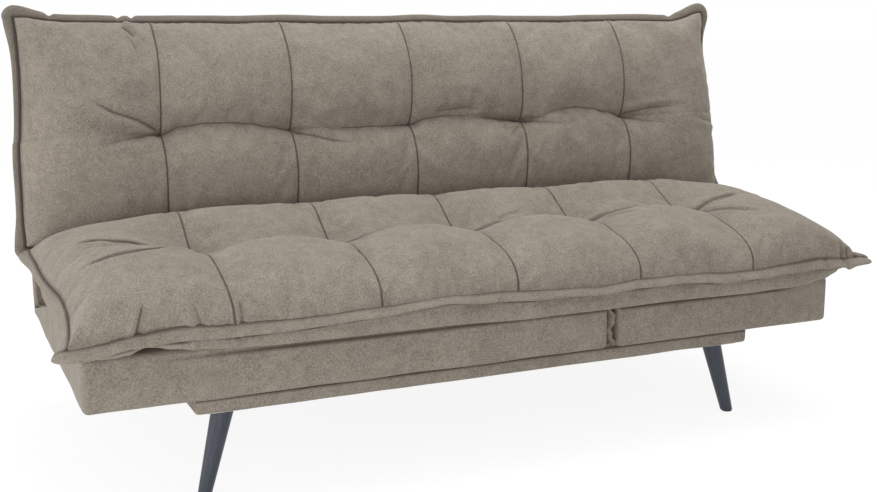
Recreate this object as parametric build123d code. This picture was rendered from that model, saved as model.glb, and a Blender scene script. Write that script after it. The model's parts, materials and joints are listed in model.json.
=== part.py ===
from build123d import *
import math
import os

# Sofa bed with a click-clack back that folds flat and a head end that tilts up.
# Millimetres. +X is the right-hand end seen from the front, +Y the back, +Z up.
# The origin is on the floor, under the middle of the whole sofa.

# Whole sofa
overall_depth = 885.0  # front edge of the seat flange to the back of the seat box
skin = 2.0  # upholstery fabric on the frame
seat_gap = 0.3  # between soft pieces and what they lie on

# Tufted pads: columns between vertical seams, two rows
column_pitch = 295.0
column_count = 6
end_tuck = 5.0  # flange seam at the pad's ends, inside the last column
end_roll = 70.0  # length over which the pad's ends roll down to the flange seam
draw_in = 10.0  # how far the pad's edges are pulled in between its corners
flange_width = 25.0
flange_thick = 7.0
flange_gap = 0.8  # between the flange ribbon and the pad it is sewn to

# Seat pad
seat_row = 245.0
seat_edge_front = 371.0  # height of the flange seam at the front
seat_edge_rear = 430.0
seat_valley = 462.0  # height of the tufts where the seams cross
seat_bulges = (62.0, 70.0)  # rise of the front and rear row above their seams' line, in mid column
seat_seam_bulges = (50.0, 58.0)  # the same along a vertical seam
seat_row_lift = 14.0  # the row seam in mid column above the tufts
border_set = 12.0  # lower border behind the flange seam

# Back pad, measured along the back (s) and square to it (n) from the pivot
back_row = 252.0
back_lean = 11.0  # degrees from upright
back_edge = 20.0  # flange plane in front of the pivot
back_valley = 42.0
back_bulges = (53.0, 64.0)  # the lower row is flatter, clear of the head end as it tilts
back_seam_bulges = (44.0, 52.0)
back_row_lift = 14.0
pivot_setback = 561.0  # pivot behind the front flange seam

# Seat box
box_inset = 32.0  # end of the box inside the pad's end seam
cover_round = 6.0  # rounded corners of the fabric covers
box_setback = 49.0  # box front behind the front flange seam
box_bottom = 213.0
box_top = 313.0
rail_thick = 28.0
felt_thick = 8.0
wire = 4.0
deck_start = 497.0  # rear deck behind the front flange seam
deck_panel_thick = 10.0

# Head end
hinge_inset = 32.0  # hinge line inside the seam that it lies by
head_columns = 2
hinge_drop = 33.0  # hinge axis below the top of the box
hinge_gap = 32.0  # between the two halves of the box
head_travel = 40.0  # degrees
head_clear = 8.0  # between the head end and the rear deck

# Base and legs
base_inset = 206.0  # end of the base inside the end of the box
base_round = 10.0
base_setback = 76.0
base_rear_setback = 60.0  # base behind the back of the box
base_bottom = 175.0
base_rail_thick = 30.0
dust_thick = 1.0
dust_inset = 110.0  # dust cloth inside the legs
dust_margin = 11.0
plate_thick = 3.0
plate_size = 80.0
leg_inset_x = 64.0  # leg axis at the plate, from the base's end
leg_inset_y = 46.0
leg_splay = 46.0
leg_rake = 12.0
leg_top_d = 44.0
leg_foot_d = 27.0
leg_neck_d = 34.0
leg_neck = 5.0
leg_edge = 4.0
glide_thick = 3.0
stud_d = 8.0
stud_length = 45.0
block_leg = 90.0  # short sides of a corner block
fit_gap = 0.1  # around studs and pins in their holes

# Back frame
frame_inset = 18.0  # end of the back frame inside the pad's end seam
back_rear = 80.0  # rear face of the back behind the pivot
frame_front = 4.0  # front of the back rails, from the pivot
back_rail_thick = 24.0
frame_start = 26.0  # lowest rail above the pivot
frame_top_inset = 16.0  # top rail below the top seam

# Back hinge fittings
fitting_inset = 222.0  # fittings inside the end of the back frame
fitting_plate = 5.0
fitting_round = 16.0
fitting_half_width = 20.0
plate_gap = 0.3
pin_d = 10.0
pin_head_d = 18.0
pin_head = 4.0
running_gap = 0.05
arm_length = 180.0
foot_length = 70.0
foot_width = 40.0
foot_thick = 4.0
buffer_d = 40.0
buffer_height = 10.2  # buffers that the flat back lies on
buffer_inset = 120.0

# Head hinge fittings
head_hinge_count = 3
head_hinge_inset = 40.0  # from the ends of the split
head_leaf = 75.0
leaf_thick = 3.0
leaf_drop = 50.0  # leaf below the hinge axis
leaf_rise = 18.0
head_pin_d = 8.0
end_barrel_d = 15.0
ratchet_barrel_d = 20.0

# Sinuous springs and their clips
spring_loop = 46.0  # length and width of a bend
seat_spring_count = 5
head_spring_count = 3
back_spring_count = 6
clip_size = 16.0
clip_thick = 1.5

# Pleat in the split of the box
pleat_depth = 14.0
pleat_fold = 3.0
pleat_set = 3.0

# Places worked out from the sizes above
pad_half_length = column_count * column_pitch / 2 - end_tuck
box_half_length = pad_half_length - box_inset
base_half_length = box_half_length - base_inset
frame_half_length = pad_half_length - frame_inset
fitting_x = frame_half_length - fitting_inset
hinge_x = column_pitch * (column_count / 2 - head_columns) - hinge_inset
hinge_height = box_top - hinge_drop
pivot_height = box_top + buffer_height + seat_gap + back_rear
seam_y = -overall_depth / 2 + flange_width
rear_y = overall_depth / 2
box_front = seam_y + box_setback
deck_front = seam_y + deck_start
seat_rear = seam_y + 2 * seat_row
pivot_y = seam_y + pivot_setback
base_top = box_bottom
base_front = seam_y + base_setback
base_rear = rear_y - base_rear_setback
rail_bottom = box_bottom + skin
rail_top = box_top - felt_thick - clip_thick - wire
pad_bottom = box_top + seat_gap
split_left = hinge_x - hinge_gap / 2
split_right = hinge_x + hinge_gap / 2
head_rear = deck_front - head_clear
back_top = 2 * back_row
leg_top = base_bottom - plate_thick
flat_turn = 90 - back_lean

os.makedirs("parts", exist_ok=True)


def slab(x0, x1, y0, y1, z0, z1):
    middle = Pos((x0 + x1) / 2, (y0 + y1) / 2, (z0 + z1) / 2)
    return middle * Box(x1 - x0, y1 - y0, z1 - z0)


def on_back(shape):
    # from (x, s, n) on the flat back to its place on the sofa
    return Pos(0, pivot_y, pivot_height) * Rot(X=flat_turn) * shape


def save(name, shape):
    export_step(shape, f"parts/{name}.step")


def group(shapes):
    return Compound(children=list(shapes))


def along(span, count):
    # middles of equal shares of a span
    low, high = span
    step = (high - low) / count
    return [low + step * (i + 0.5) for i in range(count)]


def arc_over(start, end, rise):
    dy = end[0] - start[0]
    dz = end[1] - start[1]
    chord = math.hypot(dy, dz)
    top = ((start[0] + end[0]) / 2 - dz / chord * rise, (start[1] + end[1]) / 2 + dy / chord * rise)
    return ThreePointArc(start, top, end)


def pad_section(x, low, edges, valley, rises):
    # closed outline of a pad across its two rows: underside, front edge, two crowned rows, rear edge
    front, middle, rear = edges
    corner_front = (front[0], low)
    corner_rear = (rear[0], low)
    tuft = (middle, valley)
    outline = [
        Line(corner_front, front),
        arc_over(front, tuft, rises[0]),
        arc_over(tuft, rear, rises[1]),
        Line(rear, corner_rear),
        Line(corner_rear, corner_front),
    ]
    return Plane.YZ.offset(x) * make_face(outline)


def tufted_pad(low, edges, valley, bulges, seam_bulges, row_lift):
    # one crowned loft per column, drawn down at the seams and at the pad's ends
    front, middle, rear = edges
    share = (middle - front[0]) / (rear[0] - front[0])
    edge_line = front[1] + (rear[1] - front[1]) * share
    seam = dict(valley=valley, rises=seam_bulges)
    mid = dict(valley=valley + row_lift, rises=bulges)
    shoulder = dict(valley=(valley + edge_line) / 2 + row_lift, rises=seam_bulges)
    end = dict(valley=edge_line + row_lift, rises=(2 * row_lift, 2 * row_lift))
    columns = []
    for i in range(column_count):
        left = column_pitch * (i - column_count / 2)
        right = left + column_pitch
        middle_x = left + column_pitch / 2
        stations = [(left, seam), (middle_x, mid), (right, seam)]
        if i == 0:
            stations[0:1] = [(-pad_half_length, end), (-pad_half_length + end_roll, shoulder)]
        if i == column_count - 1:
            stations[2:] = [(pad_half_length - end_roll, shoulder), (pad_half_length, end)]
        columns.append(loft([pad_section(x, low, edges, **shape) for x, shape in stations]))
    return columns


def drawn_outline(half_length, y0, y1, pull):
    # rectangle whose sides bow inwards, so that its corners stand out
    corners = [(-half_length, y0), (half_length, y0), (half_length, y1), (-half_length, y1)]
    sides = []
    for i, start in enumerate(corners):
        end = corners[(i + 1) % len(corners)]
        sides.append(arc_over(start, end, pull))
    return make_face(sides)


def fold_wedge():
    # the foam that folds between the fixed seat and the head end, as a wedge from the hinge upwards
    half = math.radians(head_travel / 2 + 1)
    high = seat_valley + max(seat_bulges) + seat_row_lift - hinge_height
    reach = high * math.tan(half)
    section = Polyline((hinge_x, hinge_height), (hinge_x + reach, hinge_height + high),
                       (hinge_x - reach, hinge_height + high), close=True)
    face = Plane.XZ.offset(-seat_rear - flange_width) * make_face(section)
    return extrude(face, amount=2 * seat_row + 2 * flange_width)


def side_of(shape, limit, keep_left):
    # the part of a shape on one side of an X plane
    big = 4 * pad_half_length
    place = limit - big / 2 if keep_left else limit + big / 2
    return shape & (Pos(place, 0, 0) * Box(big, big, big))


def seat_pads():
    edges = ((seam_y, seat_edge_front), seam_y + seat_row, (seat_rear, seat_edge_rear))
    columns = tufted_pad(pad_bottom, edges, seat_valley, seat_bulges, seat_seam_bulges, seat_row_lift)
    outline = drawn_outline(pad_half_length, seam_y, seat_rear, draw_in)
    whole = Part() + columns
    whole = whole & extrude(outline, amount=seat_valley + 2 * max(seat_bulges))
    border_top = seat_edge_front - flange_width
    keep = slab(-pad_half_length + border_set, pad_half_length - border_set, seam_y + border_set, rear_y,
                box_bottom, border_top)
    below = slab(-2 * pad_half_length, 2 * pad_half_length, -overall_depth, overall_depth, 0, border_top)
    return whole - (below - keep)


def seat_flange_ring():
    # flat ribbon round the front and the two ends, rising towards the back
    reach = pad_half_length + flange_width
    outer = drawn_outline(reach, seam_y - flange_width, seat_rear + flange_width, draw_in)
    inner = drawn_outline(pad_half_length + flange_gap, seam_y - flange_gap, seat_rear, draw_in)
    ring = extrude(outer - inner, amount=flange_thick)
    ring = ring - slab(-2 * reach, 2 * reach, seat_rear - 2 * draw_in, rear_y, 0, flange_thick)
    slope = math.degrees(math.atan2(seat_edge_rear - seat_edge_front, 2 * seat_row))
    return Pos(0, seam_y, seat_edge_front) * Rot(X=slope) * Pos(0, -seam_y, -flange_thick) * ring


def seat_top():
    # the seat's soft parts, parted at the fold
    wedge = fold_wedge()
    inside = Pos(0, 0, 2 * seat_gap) * wedge
    pieces = {}
    for name, shape in (("pad", seat_pads()), ("flange", seat_flange_ring())):
        rest = shape - wedge
        pieces["seat_" + name] = side_of(rest, hinge_x, True)
        pieces["head_" + name] = side_of(rest, hinge_x, False)
        pieces["fold_" + name] = shape & inside
    return pieces


def back_soft():
    edges = ((0, back_edge), back_row, (back_top, back_edge))
    low = frame_front + wire + clip_thick + felt_thick + seat_gap
    columns = tufted_pad(low, edges, back_valley, back_bulges, back_seam_bulges, back_row_lift)
    outline = drawn_outline(pad_half_length, 0, back_top, draw_in)
    pad = (Part() + columns) & extrude(outline, amount=back_valley + 2 * max(back_bulges))
    outer = drawn_outline(pad_half_length + flange_width, -flange_width, back_top + flange_width, draw_in)
    inner = drawn_outline(pad_half_length + flange_gap, -flange_gap, back_top + flange_gap, draw_in)
    ring = Pos(0, 0, back_edge - flange_thick / 2) * extrude(outer - inner, amount=flange_thick)
    save("back_pad", on_back(pad))
    save("back_flange", on_back(ring))


def sinuous_spring(length):
    # flat serpentine wire along Y, centred, with straight ends
    bends = int((length - spring_loop) // spring_loop)
    radius = spring_loop / 2
    start = -bends * radius
    side = 1
    path = [Line((0, -length / 2), (0, start))]
    for i in range(bends):
        y0 = start + i * spring_loop
        bulge = (side * radius, y0 + radius)
        path.append(ThreePointArc((0, y0), bulge, (0, y0 + spring_loop)))
        side = -side
    path.append(Line((0, start + bends * spring_loop), (0, length / 2)))
    return extrude(trace(path, wire), amount=wire)


def spring_bed(xs, y0, y1, z):
    # springs between two rails, with a clip plate over each end
    reach = rail_thick / 2
    springs = []
    clips = []
    for x in xs:
        spring = sinuous_spring(y1 - y0 + 2 * reach)
        springs.append(Pos(x, (y0 + y1) / 2, z) * spring)
        for y in (y0 - reach, y1 + reach):
            cap = slab(x - clip_size / 2, x + clip_size / 2, y - clip_size / 2, y + clip_size / 2,
                       z, z + wire + clip_thick)
            slot = slab(x - wire / 2, x + wire / 2, y - clip_size, y + clip_size, z, z + wire)
            clips.append(cap - slot)
    return springs, clips


def leg(side_x, side_y):
    # turned tapered leg with a short neck, splayed outwards and cut level at both ends
    top = leg_plate_centre(side_x, side_y)
    lean = Vector(side_x * leg_splay, side_y * leg_rake, -leg_top)
    length = lean.length
    over = leg_top_d
    spread = (leg_top_d - leg_foot_d) / 2 / length
    tip = leg_foot_d / 2
    shoulder = leg_top_d / 2
    profile = Polyline((0, over), (leg_neck_d / 2, over), (leg_neck_d / 2, -leg_neck), (shoulder, -leg_neck),
                       (tip, -length), (tip - spread * over, -length - over), (0, -length - over), close=True)
    turned = revolve(Plane.XZ * make_face(profile), Axis.Z)
    place = Plane(origin=top, z_dir=-lean)
    level = slab(-2 * base_half_length, 2 * base_half_length, -overall_depth, overall_depth,
                 glide_thick, leg_top)
    stud_hole = Pos(*top) * Cylinder(stud_d / 2 + fit_gap, 2 * stud_length)
    return (place * turned & level) - stud_hole


def leg_plate_centre(side_x, side_y):
    edge = base_front if side_y < 0 else base_rear
    return Vector(side_x * (base_half_length - leg_inset_x), edge - side_y * leg_inset_y, leg_top)


def foot_centre(side_x, side_y):
    top = leg_plate_centre(side_x, side_y)
    return Vector(top.X + side_x * leg_splay, top.Y + side_y * leg_rake, 0)


def legs_and_base():
    corners = [("front_left", -1, -1), ("front_right", 1, -1), ("rear_left", -1, 1), ("rear_right", 1, 1)]
    plates = []
    studs = []
    glides = []
    blocks = []
    rail_z = (base_bottom, base_top - skin)
    end_x = base_half_length - skin
    in_x = end_x - base_rail_thick
    in_y0 = base_front + skin + base_rail_thick
    in_y1 = base_rear - skin - base_rail_thick
    for name, sx, sy in corners:
        save(f"leg_{name}", leg(sx, sy))
        top = leg_plate_centre(sx, sy)
        hole = Pos(top.X, top.Y, leg_top) * Cylinder(stud_d / 2 + fit_gap, 4 * plate_thick)
        plate = slab(top.X - plate_size / 2, top.X + plate_size / 2, top.Y - plate_size / 2,
                     top.Y + plate_size / 2, leg_top, base_bottom)
        plates.append(plate - hole)
        studs.append(Pos(top.X, top.Y, base_bottom - stud_length / 2) * Cylinder(stud_d / 2, stud_length))
        foot = foot_centre(sx, sy)
        glide = Cylinder(leg_foot_d / 2 - leg_edge / 2, glide_thick)
        glides.append(Pos(foot.X, foot.Y, glide_thick / 2) * glide)
        corner_x = sx * in_x
        corner_y = in_y0 if sy < 0 else in_y1
        triangle = Polyline((corner_x, corner_y), (corner_x - sx * block_leg, corner_y),
                            (corner_x, corner_y - sy * block_leg), close=True)
        block = extrude(Plane.XY.offset(rail_z[0]) * make_face(triangle), amount=rail_z[1] - rail_z[0])
        blocks.append(block)
    save("leg_plates", group(plates))
    save("leg_studs", group(studs))
    save("leg_glides", group(glides))
    save("base_corner_blocks", group(blocks))
    save("base_front_rail", slab(-end_x, end_x, base_front + skin, in_y0, *rail_z))
    save("base_rear_rail", slab(-end_x, end_x, in_y1, base_rear - skin, *rail_z))
    save("base_left_rail", slab(-end_x, -in_x, in_y0, in_y1, *rail_z))
    save("base_right_rail", slab(in_x, end_x, in_y0, in_y1, *rail_z))
    half = base_rail_thick / 2
    save("base_centre_rail", slab(-half, half, in_y0, in_y1, *rail_z))
    outside = slab(-base_half_length, base_half_length, base_front, base_rear, base_bottom, base_top)
    outside = fillet(outside.edges().filter_by(Axis.Z), base_round)
    inside = slab(-end_x, end_x, base_front + skin, base_rear - skin, base_bottom, base_top - skin)
    middle = slab(-in_x, in_x, in_y0, in_y1, base_bottom, base_top + skin)
    save("base_cover", outside - inside - middle)
    dust_x = base_half_length - leg_inset_x - dust_inset
    save("base_dust_cover", slab(-dust_x, dust_x, base_front + dust_margin, base_rear - dust_margin,
                                 base_bottom - dust_thick, base_bottom))


def box_outline(inset):
    # plan of the fixed part of the seat box: full depth, less the head end at the front right
    x0 = -box_half_length + inset
    x1 = box_half_length - inset
    y0 = box_front + inset
    y1 = rear_y - inset
    return Polyline((x0, y0), (split_left - inset, y0), (split_left - inset, deck_front + inset),
                    (x1, deck_front + inset), (x1, y1), (x0, y1), close=True)


def seat_box():
    z0, z1 = rail_bottom, rail_top
    x0 = -box_half_length + skin
    x1 = box_half_length - skin
    y0 = box_front + skin
    y1 = rear_y - skin
    hinge_side = split_left - skin
    deck0 = deck_front + skin
    deck1 = deck0 + rail_thick
    panel_low = box_top - skin - deck_panel_thick
    save("seat_front_rail", slab(x0, hinge_side, y0, y0 + rail_thick, z0, z1))
    save("seat_left_rail", slab(x0, x0 + rail_thick, y0 + rail_thick, y1 - rail_thick, z0, z1))
    save("seat_rear_rail", slab(x0, x1, y1 - rail_thick, y1, z0, panel_low))
    save("seat_right_rail", slab(x1 - rail_thick, x1, deck1, y1 - rail_thick, z0, panel_low))
    save("seat_hinge_rail", slab(hinge_side - rail_thick, hinge_side, y0 + rail_thick, deck0, z0, z1))
    save("seat_deck_rail", slab(x0 + rail_thick, x1, deck0, deck1, z0, z1))
    save("rear_deck_panel", slab(x0, x1, deck1 + fit_gap, y1, panel_low, box_top - skin))

    wall = extrude(Plane.XY.offset(box_bottom) * make_face(box_outline(0)), amount=box_top - box_bottom)
    upright = wall.edges().filter_by(Axis.Z)
    wall = fillet(upright, cover_round)
    hollow = extrude(Plane.XY.offset(rail_bottom) * make_face(box_outline(skin)), amount=box_top)
    hem_face = Plane.XY.offset(box_bottom - skin) * make_face(box_outline(skin + rail_thick))
    hem = extrude(hem_face, amount=2 * skin)
    top = slab(x0, x1, deck1 + skin, y1, box_top - skin, box_top)
    bridge = slab(split_left, x1, deck0, deck1 + skin, box_top - skin, box_top)
    save("seat_box_cover", (wall - hollow - hem) + top + bridge)

    felt = slab(x0, split_left - hinge_gap, y0, deck1, box_top - felt_thick, box_top)
    save("seat_felt", felt)
    xs = along((x0 + rail_thick, hinge_side - rail_thick), seat_spring_count)
    springs, clips = spring_bed(xs, y0 + rail_thick, deck0, z1)
    save("seat_springs", group(springs))
    save("seat_spring_clips", group(clips))


def head_box():
    z0, z1 = rail_bottom, rail_top
    x0 = split_right + skin
    x1 = box_half_length - skin
    y0 = box_front + skin
    y1 = head_rear - skin
    save("head_front_rail", slab(x0, x1, y0, y0 + rail_thick, z0, z1))
    save("head_rear_rail", slab(x0, x1, y1 - rail_thick, y1, z0, z1))
    save("head_hinge_rail", slab(x0, x0 + rail_thick, y0 + rail_thick, y1 - rail_thick, z0, z1))
    save("head_end_rail", slab(x1 - rail_thick, x1, y0 + rail_thick, y1 - rail_thick, z0, z1))
    wall = slab(split_right, box_half_length, box_front, head_rear, box_bottom, box_top)
    wall = fillet(wall.edges().filter_by(Axis.Z), cover_round)
    hollow = slab(x0, x1, y0, y1, rail_bottom, 2 * box_top)
    hem = slab(x0 + rail_thick, x1 - rail_thick, y0 + rail_thick, y1 - rail_thick, 0, box_top)
    save("head_box_cover", wall - hollow - hem)
    save("head_felt", slab(split_right + hinge_gap, x1, y0, y1, box_top - felt_thick, box_top))
    xs = along((x0 + rail_thick, x1 - rail_thick), head_spring_count)
    springs, clips = spring_bed(xs, y0 + rail_thick, y1 - rail_thick, z1)
    save("head_springs", group(springs))
    save("head_spring_clips", group(clips))


def gusset():
    # folded fabric that spans the split in the front of the box and opens when the head end tilts
    y0 = box_front + pleat_set
    y1 = y0 + pleat_depth
    middle = hinge_x
    half = hinge_gap / 2
    bends = [(middle - half, y0), (middle - pleat_fold, y1), (middle, y0), (middle + pleat_fold, y1),
             (middle + half, y0)]
    path = [Line(start, end) for start, end in zip(bends, bends[1:])]
    strip = extrude(Plane.XY.offset(rail_bottom) * trace(path, skin), amount=box_top - rail_bottom - skin)
    room = slab(split_left + seat_gap, split_right - seat_gap, y0 - skin, y1 + skin, rail_bottom, box_top)
    save("gusset_pleat", strip & room)


def back_frame():
    low, high = -back_rear + skin, frame_front
    x1 = frame_half_length - skin
    top = back_top - frame_top_inset
    post = fitting_x + plate_gap + fitting_plate
    rail_end = frame_start + back_rail_thick
    top_start = top - back_rail_thick
    save("back_top_rail", on_back(slab(-x1, x1, top_start, top, low, high)))
    spans = [(-x1, -post), (-fitting_x, fitting_x), (post, x1)]
    low_rails = [slab(*span, frame_start, rail_end, low, high) for span in spans]
    save("back_bottom_rail", group([on_back(rail) for rail in low_rails]))
    for name, sx in (("left", -1), ("right", 1)):
        ends = sorted((sx * x1, sx * (x1 - back_rail_thick)))
        save(f"back_{name}_rail", on_back(slab(*ends, rail_end, top_start, low, high)))
        ends = sorted((sx * post, sx * (post + back_rail_thick)))
        save(f"back_{name}_post", on_back(slab(*ends, rail_end, top_start, low, high)))
    shell = slab(-frame_half_length, frame_half_length, frame_start - skin, top + skin, -back_rear, high)
    rounded = shell.edges().filter_by(Axis.Z) + shell.faces().sort_by(Axis.Z)[0].edges()
    shell = fillet(rounded, cover_round)
    hollow = slab(-x1, x1, frame_start, top, low, 2 * back_rear)
    slots = []
    for x in (-fitting_x, fitting_x):
        slots.append(slab(x - fitting_half_width, x + fitting_half_width, frame_start - 2 * skin, frame_start,
                          -2 * fitting_half_width, 2 * back_rear))
    save("back_rear_cover", on_back(shell - hollow - slots))
    felt_low = high + wire + clip_thick
    save("back_felt", on_back(slab(-x1, x1, frame_start, top, felt_low, felt_low + felt_thick)))
    clear = post + back_rail_thick + spring_loop
    xs = along((-clear, clear), back_spring_count)
    springs, clips = spring_bed(xs, rail_end, top_start, high)
    save("back_springs", group([on_back(spring) for spring in springs]))
    save("back_spring_clips", group([on_back(clip) for clip in clips]))


def back_fittings():
    # bracket standing on the rear deck, arm on the back's post, pin through both
    brackets = []
    arms = []
    pins = []
    centre = Pos(0, pivot_y, pivot_height)
    for sx in (-1, 1):
        inner = sx * (fitting_x - fitting_plate)
        outer = sx * fitting_x
        x0, x1 = sorted((inner, outer))
        mid = (x0 + x1) / 2
        round_end = centre * Pos(mid, 0, 0) * Rot(Y=90) * Cylinder(fitting_round, fitting_plate)
        upright = slab(x0, x1, pivot_y - fitting_half_width / 2, pivot_y + fitting_half_width,
                       box_top, pivot_height)
        upright = upright - slab(x0, x1, pivot_y + fitting_round, pivot_y + 2 * fitting_half_width,
                                 pivot_height - fitting_half_width, 2 * pivot_height)
        foot_edge = sx * (fitting_x - foot_width)
        f0, f1 = sorted((foot_edge, outer))
        foot = slab(f0, f1, pivot_y - fitting_half_width / 2, pivot_y - fitting_half_width / 2 + foot_length,
                    box_top, box_top + foot_thick)
        hole = centre * Pos(mid, 0, 0) * Rot(Y=90) * Cylinder(pin_d / 2 + running_gap, 4 * fitting_plate)
        brackets.append(upright + round_end + foot - hole)
        a0, a1 = sorted((sx * (fitting_x + plate_gap), sx * (fitting_x + plate_gap + fitting_plate)))
        a_mid = (a0 + a1) / 2
        strap = slab(a0, a1, 0, arm_length, -2 * fitting_round, frame_front - seat_gap)
        eye = Pos(a_mid, 0, 0) * Rot(Y=90) * Cylinder(fitting_round, fitting_plate)
        eye_hole = Pos(a_mid, 0, 0) * Rot(Y=90) * Cylinder(pin_d / 2 + running_gap, 4 * fitting_plate)
        arms.append(on_back(strap + eye - eye_hole))
        shank = pin_shape(2 * fitting_plate + plate_gap)
        reach = sx * (fitting_x + plate_gap / 2)
        pins.append(centre * Pos(reach, 0, 0) * Rot(Y=90) * shank)
    save("back_hinge_brackets", group(brackets))
    save("back_hinge_arms", group(arms))
    save("back_hinge_pins", group(pins))
    pads = []
    for sx in (-1, 1):
        for y in (pivot_y + arm_length, rear_y - buffer_inset):
            buffer = Cylinder(buffer_d / 2, buffer_height)
            pads.append(Pos(sx * fitting_x, y, box_top + buffer_height / 2) * buffer)
    save("deck_buffers", group(pads))


def pin_shape(grip):
    # headed pin along Z, centred on its grip, with a washer-headed end on both sides
    shank = Cylinder(pin_d / 2, grip + 2 * plate_gap)
    heads = [Pos(0, 0, side * (grip / 2 + plate_gap + pin_head / 2)) * Cylinder(pin_head_d / 2, pin_head)
             for side in (-1, 1)]
    return shank + heads


def head_fittings():
    # butt hinges in the split: two leaves, three knuckles and a pin, with the ratchet in the middle knuckle
    fixed = []
    moving = []
    pins = []
    knuckle = head_leaf / 3
    for y in along((box_front + head_hinge_inset, head_rear - head_hinge_inset), head_hinge_count):
        centre = Pos(hinge_x, y, hinge_height) * Rot(X=90)
        hole = centre * Cylinder(head_pin_d / 2 + running_gap, 2 * head_leaf)
        leaves = []
        for side in (-1, 1):
            wall = hinge_x + side * hinge_gap / 2
            x0, x1 = sorted((wall, wall - side * leaf_thick))
            leaf = slab(x0, x1, y - head_leaf / 2, y + head_leaf / 2,
                        hinge_height - leaf_drop, hinge_height + leaf_rise)
            web_end = sorted((wall, hinge_x + side * head_pin_d / 2))
            shares = (-1, 1) if side < 0 else (0,)
            barrel_d = end_barrel_d if side < 0 else ratchet_barrel_d
            for share in shares:
                middle = y + share * knuckle
                half = knuckle / 2 - plate_gap / 2
                web = slab(*web_end, middle - half, middle + half,
                           hinge_height - leaf_thick / 2, hinge_height + leaf_thick / 2)
                barrel = Pos(hinge_x, middle, hinge_height) * Rot(X=90) * Cylinder(barrel_d / 2, 2 * half)
                leaf = leaf + web + barrel
            leaves.append(leaf - hole)
        fixed.append(leaves[0])
        moving.append(leaves[1])
        pins.append(centre * Cylinder(head_pin_d / 2, head_leaf))
    save("head_hinge_leaves", group(fixed))
    save("head_hinge_arms", group(moving))
    save("head_hinge_pins", group(pins))


def main():
    legs_and_base()
    seat_box()
    head_box()
    gusset()
    soft = seat_top()
    for name in ("seat_pad", "head_pad", "seat_flange", "head_flange"):
        save(name, soft[name])
    save("seat_fold", soft["fold_pad"])
    save("seat_fold_flange", soft["fold_flange"])
    back_frame()
    back_soft()
    back_fittings()
    head_fittings()


main()
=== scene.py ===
import bmesh
import bpy
import json
import math
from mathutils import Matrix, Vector, noise
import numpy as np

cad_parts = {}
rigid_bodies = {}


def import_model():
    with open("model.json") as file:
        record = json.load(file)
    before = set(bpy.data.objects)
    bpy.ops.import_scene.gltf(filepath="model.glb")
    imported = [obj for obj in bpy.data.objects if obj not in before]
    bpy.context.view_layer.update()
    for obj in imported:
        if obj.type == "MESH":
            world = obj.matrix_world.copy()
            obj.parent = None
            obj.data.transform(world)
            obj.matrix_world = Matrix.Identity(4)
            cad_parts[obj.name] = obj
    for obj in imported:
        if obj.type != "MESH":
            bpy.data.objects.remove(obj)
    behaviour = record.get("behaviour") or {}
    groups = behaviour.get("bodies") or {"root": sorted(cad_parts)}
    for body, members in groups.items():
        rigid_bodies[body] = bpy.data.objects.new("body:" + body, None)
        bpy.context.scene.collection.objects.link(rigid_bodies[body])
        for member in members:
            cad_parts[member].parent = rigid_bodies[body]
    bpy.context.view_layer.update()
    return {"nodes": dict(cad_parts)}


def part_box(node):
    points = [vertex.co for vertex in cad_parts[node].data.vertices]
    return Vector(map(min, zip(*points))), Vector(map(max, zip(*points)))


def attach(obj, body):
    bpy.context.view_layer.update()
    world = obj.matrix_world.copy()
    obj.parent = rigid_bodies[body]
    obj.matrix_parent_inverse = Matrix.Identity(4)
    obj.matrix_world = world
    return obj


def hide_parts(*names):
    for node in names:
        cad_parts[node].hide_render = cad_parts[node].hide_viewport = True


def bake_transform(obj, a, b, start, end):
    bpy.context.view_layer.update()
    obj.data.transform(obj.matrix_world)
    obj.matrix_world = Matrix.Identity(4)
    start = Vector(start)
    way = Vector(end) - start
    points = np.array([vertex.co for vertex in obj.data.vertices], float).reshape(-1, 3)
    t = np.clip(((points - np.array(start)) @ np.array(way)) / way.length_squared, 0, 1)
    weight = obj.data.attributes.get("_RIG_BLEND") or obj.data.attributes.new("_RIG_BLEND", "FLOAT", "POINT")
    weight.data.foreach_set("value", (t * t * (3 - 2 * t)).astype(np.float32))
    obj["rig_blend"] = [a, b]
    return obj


for leftover in list(bpy.data.objects):  # whatever the new file came with
    bpy.data.objects.remove(leftover)
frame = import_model()
scene = bpy.context.scene
nodes = frame["nodes"]
scene.view_settings.view_transform = "Standard"
print("frame loaded:", len(nodes), "nodes")


# camera: a low three-quarter view from the left
cameraSet = {
    "place": (-1.112, -2.519, 0.926),
    "yaw": 24.09,
    "pitch": 11.0,
    "lens": 49.46,
    "sensor": 36.0,
}
cameraData = bpy.data.cameras.new("camera")
cameraData.lens = cameraSet["lens"]
cameraData.sensor_width = cameraSet["sensor"]
camera = bpy.data.objects.new("camera", cameraData)
camera.location = cameraSet["place"]
camera.rotation_euler = (
    math.radians(90 - cameraSet["pitch"]),
    0,
    math.radians(-cameraSet["yaw"]),
)
scene.collection.objects.link(camera)
scene.camera = camera


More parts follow.
